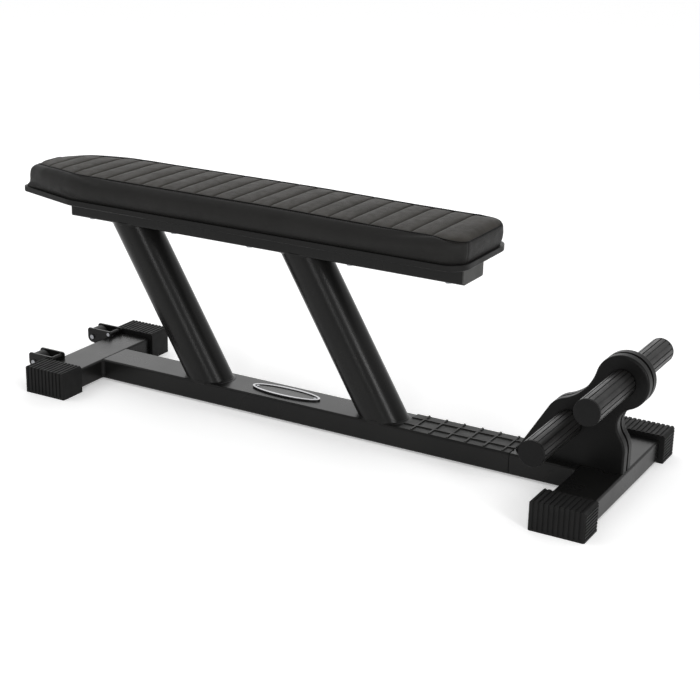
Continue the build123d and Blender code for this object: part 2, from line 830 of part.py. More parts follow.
def make_axle(level, spot):
    """Axle tube through the foot hold, with a roller and an end cap on each side."""
    with BuildPart() as axle_tube:
        round_bar(spot.X, spot.Y, -axle_end_y, axle_end_y, axle_tube_radius, axle_tube_bore)
    finish(axle_tube, f"{level}_axle_tube")

    for side_name, side in sides.items():
        y_from, y_to = sorted((side * roller_inner_y, side * roller_outer_y))
        with BuildPart() as liner:
            round_bar(spot.X, spot.Y, y_from, y_to, liner_outer, liner_bore)
        finish(liner, f"{level}_roller_liner_{side_name}")

        with BuildPart() as sleeve:
            with BuildSketch(cross_section_plane(y_to)):
                ribbed_section(spot.X, spot.Y)
            extrude(amount=y_to - y_from)
        finish(sleeve, f"{level}_roller_sleeve_{side_name}")

        with BuildPart() as end_cap:
            disc_from, disc_to = sorted((side * axle_end_y, side * roller_reach))
            round_bar(spot.X, spot.Y, disc_from, disc_to, roller_radius)
            outer_rim = end_cap.edges().filter_by(GeomType.CIRCLE).sort_by(Axis.Y)[-1 if side > 0 else 0]
            fillet(outer_rim, end_cap_edge)
            plug_from, plug_to = sorted((side * (axle_end_y - end_cap_plug), side * axle_end_y))
            round_bar(spot.X, spot.Y, plug_from, plug_to, axle_tube_bore - end_cap_fit)
        finish(end_cap, f"{level}_end_cap_{side_name}")


make_axle("lower", lower_axle)
make_axle("upper", upper_axle)

# ---------------------------------------------------------------- tread mat

mat_rear_x = front_post_foot_x + post_half_span + mat_post_gap
mat_width = tube_width - 2 * mat_side_margin
mat_length = joint_x - mat_rear_x
mat_middle = (mat_rear_x + joint_x) / 2
mat_row_y = (mat_middle_row + mat_rib) / 2

# Middle of each cross rib; one that would fall at the very end is left out
mat_ribs_x = []
next_rib = mat_rear_x + mat_first_pitch
while next_rib < joint_x - 2 * mat_rib:
    mat_ribs_x.append(next_rib)
    next_rib += mat_pitch

with BuildPart() as tread_mat:
    with BuildSketch(Plane.XY.offset(rail_top)):
        with Locations((mat_middle, 0)):
            Rectangle(mat_length, mat_width)
    extrude(amount=mat_base)
    with BuildSketch(Plane.XY.offset(rail_top + mat_base)):
        with Locations(*[(rib_x, 0) for rib_x in mat_ribs_x]):
            Rectangle(mat_rib, mat_width)
        with Locations((mat_middle, -mat_row_y), (mat_middle, mat_row_y)):
            Rectangle(mat_length, mat_rib)
    extrude(amount=mat_rib_height)
finish(tread_mat, "tread_mat")

# ---------------------------------------------------------------- blank name plate

plate_face = rail_top + plate_height - plate_recess
with BuildPart() as name_plate:
    with BuildSketch(Plane.XY.offset(rail_top)):
        with Locations((plate_centre_x, 0)):
            Ellipse(plate_length / 2, plate_breadth / 2)
        with Locations(*rivet_spots):
            Circle(rivet_radius + thread_fit, mode=Mode.SUBTRACT)
    extrude(amount=plate_height)
    with BuildSketch(Plane.XY.offset(plate_face)):
        with Locations((plate_centre_x, 0)):
            Ellipse(plate_length / 2 - plate_rim, plate_breadth / 2 - plate_rim)
    extrude(amount=plate_recess, mode=Mode.SUBTRACT)
finish(name_plate, "name_plate")

with BuildPart() as name_plate_rivets:
    upright_rods(rivet_spots, plate_face, plate_face + rivet_head_height, rivet_head_radius)
    upright_rods(rivet_spots, rail_top - tube_wall - rivet_tail, plate_face, rivet_radius)
finish(name_plate_rivets, "name_plate_rivets")
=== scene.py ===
"""Flat weight bench: materials, stitched cushion, welds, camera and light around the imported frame.

Metres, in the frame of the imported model: +X to the foot hold, +Y to the left, +Z up.
"""

import json
from bisect import bisect_left
from math import ceil, copysign, cos, hypot, pi, radians, sin, sqrt, tan

import bmesh
import bpy
from mathutils import Matrix, Vector, noise


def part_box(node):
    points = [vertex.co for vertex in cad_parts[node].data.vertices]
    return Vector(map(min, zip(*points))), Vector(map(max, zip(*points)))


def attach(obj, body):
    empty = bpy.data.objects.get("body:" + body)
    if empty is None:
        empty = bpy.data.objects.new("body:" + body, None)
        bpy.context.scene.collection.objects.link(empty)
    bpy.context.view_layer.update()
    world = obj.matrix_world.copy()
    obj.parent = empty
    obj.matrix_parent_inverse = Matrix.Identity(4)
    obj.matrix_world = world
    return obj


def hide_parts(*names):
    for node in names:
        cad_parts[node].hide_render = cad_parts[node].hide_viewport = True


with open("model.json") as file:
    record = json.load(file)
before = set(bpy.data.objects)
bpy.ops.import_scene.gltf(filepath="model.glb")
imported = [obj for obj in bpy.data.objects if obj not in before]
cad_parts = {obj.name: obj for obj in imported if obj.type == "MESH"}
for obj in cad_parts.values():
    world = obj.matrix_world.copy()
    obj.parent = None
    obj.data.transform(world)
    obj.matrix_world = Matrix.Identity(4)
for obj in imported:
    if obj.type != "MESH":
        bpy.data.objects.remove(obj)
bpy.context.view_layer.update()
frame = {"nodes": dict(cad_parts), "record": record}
cad_nodes = frame["nodes"]
MM = 0.001

# ---------------------------------------------------------------- shader helpers

NOISE_LOW, NOISE_HIGH = 0.3, 0.7  # most values of a noise texture lie between these
CREASE_REACH = 0.25  # distance from a crease, in cells, at which a pebble is at its full height
PLATE_POCKET_TOP = 56 * MM  # height at which the name plate's dark pocket gives way to its rim
RIM_BLEND = 0.3 * MM


class Shader:
    """A material being built: its nodes, its links and its Principled shader."""

    def __init__(self, name, colour, roughness, specular=0.5, metallic=0.0):
        self.material = bpy.data.materials.new(name)
        self.material.use_nodes = True
        self.nodes = self.material.node_tree.nodes
        self.links = self.material.node_tree.links
        self.principled = self.nodes["Principled BSDF"]
        self.principled.inputs["Base Color"].default_value = (*colour, 1)
        self.principled.inputs["Roughness"].default_value = roughness
        self.principled.inputs["Specular IOR Level"].default_value = specular
        self.principled.inputs["Metallic"].default_value = metallic
        self.colour = colour
        self.roughness = roughness
        self.place = self.nodes.new("ShaderNodeTexCoord").outputs["Object"]
        self.bump_out = None

    def stretched(self, stretch):
        """Object coordinates scaled along each axis."""
        mapping = self.nodes.new("ShaderNodeMapping")
        mapping.inputs["Scale"].default_value = stretch
        self.links.new(self.place, mapping.inputs["Vector"])
        return mapping.outputs["Vector"]

    def noise(self, scale, detail=2.0, stretch=None):
        """Noise with this many features a metre."""
        texture = self.nodes.new("ShaderNodeTexNoise")
        texture.inputs["Scale"].default_value = scale
        texture.inputs["Detail"].default_value = detail
        self.links.new(self.stretched(stretch) if stretch else self.place, texture.inputs["Vector"])
        return texture.outputs["Fac"]

    def cells(self, scale):
        """Height field of small pebbles divided by creases."""
        texture = self.nodes.new("ShaderNodeTexVoronoi")
        texture.feature = "DISTANCE_TO_EDGE"
        texture.inputs["Scale"].default_value = scale
        self.links.new(self.place, texture.inputs["Vector"])
        return self.ranged(texture.outputs["Distance"], 0.0, CREASE_REACH, 0.0, 1.0)

    def ranged(self, value, low, high, to_low, to_high):
        """A value moved from one range to another and held inside it."""
        node = self.nodes.new("ShaderNodeMapRange")
        limits = {"From Min": low, "From Max": high, "To Min": to_low, "To Max": to_high}
        for socket, number in limits.items():
            node.inputs[socket].default_value = number
        self.links.new(value, node.inputs["Value"])
        return node.outputs["Result"]

    def mix_colour(self, factor, other):
        """Base colour goes from the shader's own to another as the factor goes from 0 to 1."""
        mix = self.nodes.new("ShaderNodeMix")
        mix.data_type = "RGBA"
        mix.inputs["A"].default_value = (*self.colour, 1)
        mix.inputs["B"].default_value = (*other, 1)
        self.links.new(factor, mix.inputs["Factor"])
        self.links.new(mix.outputs["Result"], self.principled.inputs["Base Color"])

    def vary_colour(self, value, other):
        """Base colour wanders to another with a noise value."""
        self.mix_colour(self.ranged(value, NOISE_LOW, NOISE_HIGH, 0.0, 1.0), other)

    def vary_roughness(self, value, spread):
        """Roughness wanders by the spread either way."""
        low, high = self.roughness - spread, self.roughness + spread
        wander = self.ranged(value, NOISE_LOW, NOISE_HIGH, low, high)
        self.links.new(wander, self.principled.inputs["Roughness"])

    def bump(self, height, depth, strength=1.0):
        """Adds a height field, depth in metres, on top of the ones before it."""
        node = self.nodes.new("ShaderNodeBump")
        node.inputs["Strength"].default_value = strength
        node.inputs["Distance"].default_value = depth
        self.links.new(height, node.inputs["Height"])
        if self.bump_out:
            self.links.new(self.bump_out, node.inputs["Normal"])
        self.bump_out = node.outputs["Normal"]
        self.links.new(self.bump_out, self.principled.inputs["Normal"])


def powder_coat():
    """Satin black powder coat: orange peel, and a little dust in its sheen."""
    coat = Shader("powder_coat", (0.006, 0.006, 0.0059), 0.285, specular=0.17)
    coat.vary_roughness(coat.noise(9), 0.03)
    coat.vary_colour(coat.noise(6, 4), (0.0088, 0.0087, 0.0083))
    coat.bump(coat.noise(420, 1), 0.00006, 0.5)
    return coat.material


def leatherette(name, colour, roughness, specular, sheen):
    """Black upholstery vinyl: pebbled grain, fine pores and slight shade changes."""
    vinyl = Shader(name, colour, roughness, specular)
    vinyl.principled.inputs["Sheen Weight"].default_value = sheen
    vinyl.principled.inputs["Sheen Roughness"].default_value = 0.5
    vinyl.vary_colour(vinyl.noise(14, 3), tuple(channel * 1.25 for channel in colour))
    vinyl.vary_roughness(vinyl.noise(60), 0.05)
    vinyl.bump(vinyl.cells(850), 0.00012, 0.45)
    vinyl.bump(vinyl.noise(2600, 1), 0.00003, 0.4)
    return vinyl.material


def rubber(name, colour, roughness, specular=0.3):
    """Moulded rubber: fine matt skin with faint bloom."""
    skin = Shader(name, colour, roughness, specular)
    skin.vary_colour(skin.noise(28, 4), tuple(channel * 1.5 for channel in colour))
    skin.vary_roughness(skin.noise(40), 0.05)
    skin.bump(skin.noise(900, 2), 0.00007, 0.5)
    return skin.material


def moulded_plastic(name, colour, roughness, specular=0.35):
    """Black moulded plastic with a spark-eroded texture."""
    shell = Shader(name, colour, roughness, specular)
    shell.vary_roughness(shell.noise(30), 0.04)
    shell.vary_colour(shell.noise(18, 3), tuple(channel * 1.35 for channel in colour))
    shell.bump(shell.noise(1300, 2), 0.00005, 0.5)
    return shell.material


def zinc():
    """Zinc-plated steel hardware."""
    plated = Shader("zinc_plate", (0.36, 0.365, 0.38), 0.34, metallic=1.0)
    plated.vary_roughness(plated.noise(260), 0.08)
    plated.vary_colour(plated.noise(140, 3), (0.27, 0.275, 0.29))
    plated.bump(plated.noise(1800, 1), 0.00003, 0.5)
    return plated.material


def name_plate():
    """Pressed badge left blank: bright brushed rim, dark satin pocket."""
    plate = Shader("name_plate", (0.012, 0.012, 0.0122), 0.34, specular=0.4)
    split = plate.nodes.new("ShaderNodeSeparateXYZ")
    plate.links.new(plate.place, split.inputs["Vector"])
    rim = plate.ranged(
        split.outputs["Z"], PLATE_POCKET_TOP, PLATE_POCKET_TOP + RIM_BLEND, 0.0, 1.0
    )
    plate.mix_colour(rim, (0.42, 0.42, 0.43))
    plate.links.new(rim, plate.principled.inputs["Metallic"])
    brushing = plate.noise(120, 3, stretch=(1, 40, 40))
    plate.vary_roughness(brushing, 0.08)
    plate.bump(brushing, 0.00003, 0.5)
    return plate.material


def painted_board():
    """Plywood edge under black paint: thin veneers telegraph through."""
    board = Shader("painted_board", (0.0098, 0.0097, 0.0095), 0.46, specular=0.13)
    board.vary_colour(board.noise(30, 3), (0.0105, 0.0103, 0.01))
    board.vary_roughness(board.noise(50), 0.05)
    board.bump(board.noise(60, 3, stretch=(0.3, 1, 14)), 0.00012, 0.5)
    return board.material


def sewing_thread():
    """Black polyester thread with a little sheen."""
    thread = Shader("thread", (0.004, 0.0039, 0.0038), 0.6, specular=0.12)
    thread.vary_colour(thread.noise(300), (0.007, 0.0068, 0.0066))
    thread.bump(thread.noise(3200, 1), 0.00006, 0.6)
    return thread.material


LOOKS = {
    "frame_paint": powder_coat(),
    # The pad's one vinyl in two copies: the border's darker copy is painted shade, and the top
    # panels' lighter, warmer copy on the next line is painted light
    "pad_cover": leatherette("leatherette_painted_shaded_border", (0.0112, 0.0109, 0.0104), 0.54, 0.12, 0.04),
    "pad_lit_top": leatherette("leatherette_painted_lit_top", (0.0285, 0.0260, 0.0224), 0.58, 0.12, 0.0),
    "thread": sewing_thread(),
    "foot_rubber": rubber("foot_rubber", (0.0048, 0.0048, 0.0047), 0.6, specular=0.16),
    "roller_rubber": rubber("roller_rubber", (0.0095, 0.0093, 0.009), 0.42, specular=0.3),
    "mat_rubber": rubber("mat_rubber", (0.0125, 0.0123, 0.0118), 0.5, specular=0.2),
    "tyre": rubber("wheel_rubber", (0.011, 0.011, 0.011), 0.55, specular=0.25),
    "plastic": moulded_plastic("plain_plastic", (0.0065, 0.0065, 0.0065), 0.5, specular=0.1),
    "cover_plastic": moulded_plastic("cover_plastic", (0.004, 0.004, 0.0039), 0.42, specular=0.13),
    "plug_plastic": moulded_plastic("plug_plastic", (0.044, 0.044, 0.042), 0.5, specular=0.2),
    "board": painted_board(),
    "zinc_steel": zinc(),
    "plate": name_plate(),
}


def give(piece, look):
    """One material on the whole piece."""
    piece.data.materials.clear()
    piece.data.materials.append(LOOKS[look])


slot_of = {row["node"]: row["material_slot"] for row in frame["record"]["subparts"]}
for name, node in cad_nodes.items():
    give(node, "plug_plastic" if name.startswith("beam_plug") else slot_of[name])

# ---------------------------------------------------------------- mesh helpers


def new_piece(name, mesh, look, body="frame"):
    """A visible piece with its material, riding on a body."""
    piece = bpy.data.objects.new(name, mesh)
    bpy.context.scene.collection.objects.link(piece)
    give(piece, look)
    for polygon in mesh.polygons:
        polygon.use_smooth = True
    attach(piece, body)
    return piece


def mesh_of(name, points, faces):
    """Mesh from points and faces, normals outward."""
    mesh = bpy.data.meshes.new(name)
    mesh.from_pydata(points, [], faces)
    shape = bmesh.new()
    shape.from_mesh(mesh)
    bmesh.ops.recalc_face_normals(shape, faces=shape.faces)
    shape.to_mesh(mesh)
    shape.free()
    return mesh


def interpolate(xs, ys, x):
    """Value at x on the line through the points (xs, ys), xs rising."""
    i = min(max(bisect_left(xs, x), 1), len(xs) - 1)
    share = (x - xs[i - 1]) / (xs[i] - xs[i - 1])
    return ys[i - 1] + share * (ys[i] - ys[i - 1])


# ---------------------------------------------------------------- cushion

CHANNELS = 22
CHANNEL_PITCH = 50.6 * MM
FIRST_CHANNEL_X = -721.6 * MM
CORNER_SEAM_X = 401 * MM  # upright seam at each foot corner
STEP = 6 * MM
ON_FACE = 0.1 * MM  # a vertex this near the lowest face counts as being on it
BESIDE_SEAM = (1.6 * MM, 4 * MM)  # the first two points beside a sewn line
CHANNEL_SINK = (5.0 * MM, 1.9 * MM, 0.3 * MM)  # at the line and at those two points
CHANNEL_WANDER = 0.8 * MM
CHANNEL_WANDER_PITCH = (0.37, 3)  # noise steps for each row and for each half width
CHANNEL_WANDER_SLICE = 1.7  # the noise's third coordinate
SEAM_SINK = (2.7 * MM, 1.0 * MM)  # at the top seam and at the next point
FOOT_SEAM_WIDTH = 3 * MM  # how far the sink of the seam round the foot end reaches into the top
CORNER_SEAM_SINK = (0.8 * MM, 0.3 * MM)  # at the corner seam and at the next point
# Places across the top, 0 in the middle and 1 on the seam
HALF_ACROSS = [n * 0.075 for n in range(10)] + [0.745, 0.81, 0.87, 0.92, 0.96, 0.985, 1.0]
ACROSS = [-share for share in reversed(HALF_ACROSS[1:])] + HALF_ACROSS
# Rings from the top seam down to the tuck on the board: inset from the outline and drop from
# the top, in millimetres, along the sides, round the foot end and round the head end
SIDE_RINGS = [
    (19, 4.6), (17.6, 3.8), (15.6, 3.2), (12.5, 3.6), (9, 5.1), (5.8, 7.8), (3.4, 11.7),
    (1.9, 16.7), (1.1, 23), (0.8, 30), (1.0, 37), (1.6, 44), (2.4, 50), (3.3, 55), (4.2, 59),
    (4.9, 61.6),
]
FOOT_RINGS = [
    (4.8, 12.6), (3.4, 13.2), (2.5, 14.3), (1.9, 15.8), (1.5, 17.8), (1.2, 20.2), (1.0, 23.2),
    (0.9, 27), (0.8, 31), (0.8, 35.5), (1.1, 40.5), (1.7, 46), (2.6, 51), (3.5, 55.5), (4.3, 59),
    (4.9, 61.6),
]
HEAD_RINGS = [
    (30, 6.5), (28, 5.6), (25, 5.0), (21, 5.6), (17, 7.6), (13.5, 10.8), (11, 15), (9.8, 20),
    (9, 26), (8.6, 32), (8.3, 39), (8, 45), (7.2, 50.5), (5.4, 55), (2.6, 59), (1.2, 61.6),
]
TUCKED_RINGS = 2  # the lowest rings, held while the pad is blown up
WIDE_INSET, NARROW_INSET = 0.55, 0.45  # share of an inset that follows the width, and the rest
BORDER_RIPPLE = 0.5 * MM
RIPPLE_PITCH = (8, 70, 2)  # noise steps for each metre along and down, and for each half width
RIPPLE_SIDEWAYS = 4  # how strongly a ripple turns across the pad instead of along it
FOOT_ROUNDING = 28 * MM  # radius of the top's edge round the foot end
FOOT_FALL = 5.5 * MM  # the top also comes down a little between these two places
FOOT_FALL_FROM = -120 * MM
FOOT_FALL_TO = 300 * MM
HEAD_FALL = 9 * MM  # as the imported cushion: the top comes down over this length at the head end
HEAD_FALL_LENGTH = 130 * MM
HEAD_BLEND = 80 * MM  # length over which the head's rings pass into the side's
PANEL_START = 2.2 * MM  # how far below its final height a panel starts before it is blown up
CROWN_POWER = 6  # the higher, the flatter the top is across its middle
PRESSURE = 2.8
PUFF_FRAMES = 20
PUFF_CAP = 4 * MM


def smoothstep(share):
    """0 to 1 with a soft start and end."""
    share = min(max(share, 0.0), 1.0)
    return share * share * (3 - 2 * share)


def side_outline(node):
    """Arclengths, x and half widths of a node's lowest face, head to foot along its -Y side."""
    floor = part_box(node)[0][2]
    ring = sorted({
        (round(v.co.x, 6), round(v.co.y, 6))
        for v in cad_nodes[node].data.vertices
        if v.co.z < floor + ON_FACE and v.co.y < 0
    })
    lengths = [0.0]
    for (xa, ya), (xb, yb) in zip(ring, ring[1:]):
        lengths.append(lengths[-1] + ((xb - xa) ** 2 + (yb - ya) ** 2) ** 0.5)
    return lengths, [x for x, _ in ring], [-y for _, y in ring]


def even(start, end, step):
    """Values from start to end, both included, about a step apart."""
    count = max(1, ceil((end - start) / step))
    return [start + (end - start) * n / count for n in range(count + 1)]


def graded(start, end):
    """Values from one sewn line up to the next, which is left out, closer together beside both."""
    near, far = BESIDE_SEAM
    return [start, start + near, *even(start + far, end - far, STEP), end - near]


class Cushion:
    """Closed quad mesh of the pad: a top of sewn panels, a border and a flat underside."""

    def __init__(self):
        self.low, self.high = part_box("pad_cushion")
        lengths, xs, ys = side_outline("pad_cushion")
        self.middle_x = (self.low[0] + self.high[0]) / 2
        self.half_length = (self.high[0] - self.low[0]) / 2
        self.half_width = max(ys)
        sewn_x = [FIRST_CHANNEL_X + n * CHANNEL_PITCH for n in range(CHANNELS)] + [CORNER_SEAM_X]
        sewn_s = [interpolate(xs, lengths, x) for x in sewn_x]
        stations = graded(0.0, sewn_s[0])
        self.sewn_rows = []
        for start, end in zip(sewn_s, sewn_s[1:]):
            self.sewn_rows.append(len(stations))
            stations += graded(start, end)
        self.corner_row = len(stations)
        stations += graded(sewn_s[-1], lengths[-1] + BESIDE_SEAM[0])[:-1]
        stations[-1] = lengths[-1]
        self.outline = [
            (interpolate(lengths, xs, s), interpolate(lengths, ys, s)) for s in stations
        ]
        self.points = []
        self.held = []
        self.faces = []
        self.top_faces = set()
        self.make_top()
        self.make_border()
        self.make_underside()

    def add_point(self, place, held=False):
        """Index of a new point, which the cloth simulation leaves in place if it is held."""
        self.points.append(place)
        if held:
            self.held.append(len(self.points) - 1)
        return len(self.points) - 1

    def ring_at(self, row, level):
        """Inset and drop of a ring at a row, between the side's, head's and foot's profiles."""
        x = self.outline[row][0]
        to_head = smoothstep(1 - (x - self.low[0]) / HEAD_BLEND)
        to_foot = self.to_foot(x)
        parts = zip(SIDE_RINGS[level], HEAD_RINGS[level], FOOT_RINGS[level])
        return [
            (side * (1 - to_head - to_foot) + head * to_head + foot * to_foot) * MM
            for side, head, foot in parts
        ]

    def to_foot(self, x):
        """0 up to the last channel, rising to 1 at the corner seam."""
        last_channel = FIRST_CHANNEL_X + (CHANNELS - 1) * CHANNEL_PITCH
        return smoothstep((x - last_channel) / (CORNER_SEAM_X - last_channel))

    def place(self, row, share, inset, drop):
        """Point at a row and a share of the half width, on the ring with this inset and drop."""
        x, y = self.outline[row]
        narrow = NARROW_INSET + WIDE_INSET * y / self.half_width
        ring_x = self.middle_x + (x - self.middle_x) * (1 - inset / self.half_length)
        ring_y = (y - inset * narrow) * share
        head_share = max(0.0, 1 - (ring_x - self.low[0]) / HEAD_FALL_LENGTH)
        height = self.high[2] - self.low[2]
        fall = (HEAD_FALL * head_share ** 2 + self.foot_fall(ring_x)) * (1 - drop / height)
        return Vector((ring_x, ring_y, self.high[2] - drop - fall))

    def foot_fall(self, x):
        """How far the top has come down towards the foot end."""
        return FOOT_FALL * smoothstep((x - FOOT_FALL_FROM) / (FOOT_FALL_TO - FOOT_FALL_FROM))

    def edge_distance(self, x, y):
        """How far a point of the top is from the foot end of the outline."""
        corner = min(hypot(x - ox, abs(y) - oy) for ox, oy in self.outline[self.sewn_rows[-1]:])
        return min(corner, self.high[0] - x)

    def foot_height(self, x, distance):
        """Height of the foot end's top this far from the outline, rounded over its edge."""
        near = min(distance, FOOT_ROUNDING)
        reach = (FOOT_ROUNDING ** 2 - (FOOT_ROUNDING - near) ** 2) ** 0.5
        curve = FOOT_ROUNDING - reach
        return self.high[2] - PANEL_START * (near / FOOT_ROUNDING) - curve - self.foot_fall(x)

    def make_top(self):
        """Sewn panels, row by row from head to foot, with the seam sunk all round."""
        sink_at = {}
        for row in self.sewn_rows:
            for step, sink in enumerate(CHANNEL_SINK):
                sink_at[row + step] = sink_at[row - step] = sink
        last = len(ACROSS) - 1
        self.top = []
        for row in range(len(self.outline)):
            inset, drop = self.ring_at(row, 0)
            to_foot = self.to_foot(self.outline[row][0])
            channel = row in self.sewn_rows
            line = []
            for column, share in enumerate(ACROSS):
                point = self.place(row, share, inset, drop)
                from_seam = min(column, last - column)
                at_seam = from_seam == 0 or row in (0, len(self.outline) - 1)
                crown = (drop - PANEL_START) * (1 - share ** CROWN_POWER)
                rounded = point.z + crown
                sink = 0.0 if from_seam == 0 else sink_at.get(row, 0.0)
                from_rim = min(from_seam, row)
                if from_rim < len(SEAM_SINK):
                    sink = max(sink, SEAM_SINK[from_rim])
                if to_foot > 0:
                    distance = self.edge_distance(point.x, point.y)
                    foot_z = self.foot_height(point.x, distance)
                    rounded = rounded * (1 - to_foot) + foot_z * to_foot
                    into_top = (distance - FOOT_RINGS[0][0] * MM) / FOOT_SEAM_WIDTH
                    sink = max(sink, SEAM_SINK[0] * min(max(1 - into_top, 0.0), 1.0))
                if channel:
                    row_pitch, share_pitch = CHANNEL_WANDER_PITCH
                    noise_place = (row * row_pitch, share * share_pitch, CHANNEL_WANDER_SLICE)
                    point.x += CHANNEL_WANDER * noise.noise(Vector(noise_place))
                point.z = rounded - sink
                line.append(self.add_point(point, channel or at_seam))
            self.top.append(line)
        for line, after in zip(self.top, self.top[1:]):
            for n in range(last):
                self.top_faces.add(len(self.faces))
                self.faces.append((line[n], after[n], after[n + 1], line[n + 1]))

    def make_border(self):
        """Rings from the top seam down to the tuck, with an upright seam at each foot corner."""
        rows, columns = len(self.top), len(ACROSS)
        self.rim = [(row, 0) for row in range(rows)]
        self.rim += [(rows - 1, column) for column in range(1, columns - 1)]
        self.rim += [(row, columns - 1) for row in range(rows - 1, -1, -1)]
        self.rim += [(0, column) for column in range(columns - 2, 0, -1)]
        self.rings = [[self.top[row][column] for row, column in self.rim]]
        for level in range(1, len(SIDE_RINGS)):
            ring = []
            for row, column in self.rim:
                inset, drop = self.ring_at(row, level)
                point = self.place(row, ACROSS[column], inset, drop)
                outward = Vector((point.x - self.middle_x, point.y * RIPPLE_SIDEWAYS, 0))
                measures = (point.x, drop, ACROSS[column])
                noise_place = [value * pitch for value, pitch in zip(measures, RIPPLE_PITCH)]
                ripple = BORDER_RIPPLE * noise.noise(Vector(noise_place))
                beside = abs(row - self.corner_row)
                at_side = column in (0, columns - 1)
                in_seam = at_side and beside < len(CORNER_SEAM_SINK)
                sink = CORNER_SEAM_SINK[beside] if in_seam else 0.0
                tucked = level >= len(SIDE_RINGS) - TUCKED_RINGS
                held = tucked or sink == CORNER_SEAM_SINK[0]
                place = point + outward.normalized() * (ripple - sink)
                ring.append(self.add_point(place, held))
            self.rings.append(ring)
        for upper, lower in zip(self.rings, self.rings[1:]):
            for a in range(len(self.rim)):
                b = (a + 1) % len(self.rim)
                self.faces.append((upper[a], lower[a], lower[b], upper[b]))

    def make_underside(self):
        """Flat face inside the lowest ring."""
        at = dict(zip(self.rim, self.rings[-1]))
        inset, drop = (number * MM for number in SIDE_RINGS[-1])
        bottom = []
        for row in range(len(self.outline)):
            line = []
            for column, share in enumerate(ACROSS):
                if (row, column) in at:
                    line.append(at[row, column])
                else:
                    line.append(self.add_point(self.place(row, share, inset, drop), True))
            bottom.append(line)
        for near, far in zip(bottom, bottom[1:]):
            for column in range(len(ACROSS) - 1):
                self.faces.append((near[column], near[column + 1], far[column + 1], far[column]))


def apply_modifiers(piece):
    """Bakes the piece's modifiers into its mesh."""
    depsgraph = bpy.context.evaluated_depsgraph_get()
    depsgraph.update()
    baked = bpy.data.meshes.new_from_object(piece.evaluated_get(depsgraph))
    piece.modifiers.clear()
    piece.data = baked


def puff(piece, held):
    """Blows the piece up as cloth: held points stay, the rest move by no more than the cap."""
    rest = [v.co.copy() for v in piece.data.vertices]
    group = piece.vertex_groups.new(name="sewn")
    group.add(held, 1.0, "REPLACE")
    cloth = piece.modifiers.new("puff", "CLOTH")
    cloth.settings.vertex_group_mass = "sewn"
    cloth.settings.use_pressure = True
    cloth.settings.uniform_pressure_force = PRESSURE
    cloth.settings.effector_weights.gravity = 0
    cloth.point_cache.frame_end = PUFF_FRAMES
    scene = bpy.context.scene
    for step in range(1, PUFF_FRAMES + 1):
        scene.frame_set(step)
    apply_modifiers(piece)
    scene.frame_set(1)
    for vertex, start in zip(piece.data.vertices, rest):
        move = vertex.co - start
        if move.length > PUFF_CAP:
            vertex.co = start + move * (PUFF_CAP / move.length)


def build_cushion():
    """Cushion piece with the top panels in a lighter, warmer copy of the vinyl, which is painted
    light, and the border in a darker copy, which is painted shade.
    """
    shape = Cushion()
    cushion = new_piece("cushion", mesh_of("cushion", shape.points, shape.faces), "pad_cover")
    # The top faces take the vinyl's painted-light copy, and the border keeps its painted-shade copy
    cushion.data.materials.append(LOOKS["pad_lit_top"])
    for polygon in cushion.data.polygons:
        polygon.material_index = 1 if polygon.index in shape.top_faces else 0
    puff(cushion, shape.held)
    subdivide = cushion.modifiers.new("smooth", "SUBSURF")
    subdivide.levels = subdivide.render_levels = 1
    apply_modifiers(cushion)
    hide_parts("pad_cushion")
    return shape, cushion


cushion_shape, cushion = build_cushion()

# ---------------------------------------------------------------- welds

POST_LEAN = radians(31.2)
LEAN_UP = Vector((-sin(POST_LEAN), 0, cos(POST_LEAN)))
TUBE_CORNER = 5 * MM
BEAD_STEPS = 6
BEAD_RIPPLE = 0.05  # share of the leg
POST_WELD_LEG = 4.2 * MM
POST_WELD_SECTIONS = 180
POST_WELD_RIPPLES = 66
# How much wider a post's bead is on the side that leans away, and how sharply that fades
HEAD_WIDENING, FOOT_WIDENING, WIDENING_POWER = 2.6, 0.2, 3
POST_WELD_LIFT = 0.3 * MM  # how far the bead's edges stand off the metal
POST_WELD_THROAT = 0.5 * MM  # how far the bead's hollow is drawn out from the joint
POST_WELD_ROOT = (2 * MM, 1 * MM)  # how far the bead reaches into the metal, sideways and upright
CORNER_WELD_LEG = 7 * MM
CORNER_WELD_STEP = 2 * MM
CORNER_WELD_RIPPLES = 1500  # radians a metre
CORNER_WELD_LIFT = 0.2 * MM
CORNER_WELD_ROOT = 1 * MM


def fillet_section(corner, leg_a, leg_b, buried):
    """Concave bead section between two faces that meet at a corner, closed inside the metal."""
    arc = []
    for n in range(BEAD_STEPS + 1):
        t = n / BEAD_STEPS
        arc.append(leg_a * (1 - t) ** 2 + corner * 2 * t * (1 - t) + leg_b * t ** 2)
    return [*arc, buried]


def tube_mesh(name, sections, closed=True):
    """Tube through matching sections, closed in a ring or capped at its ends."""
    size = len(sections[0])
    points = [point for section in sections for point in section]
    faces = []
    for a in range(len(sections) if closed else len(sections) - 1):
        b = (a + 1) % len(sections)
        for n in range(size):
            m = (n + 1) % size
            faces.append((a * size + n, a * size + m, b * size + m, b * size + n))
    if not closed:
        faces += [tuple(range(size)), tuple(range(len(points) - size, len(points)))]
    return mesh_of(name, points, faces)


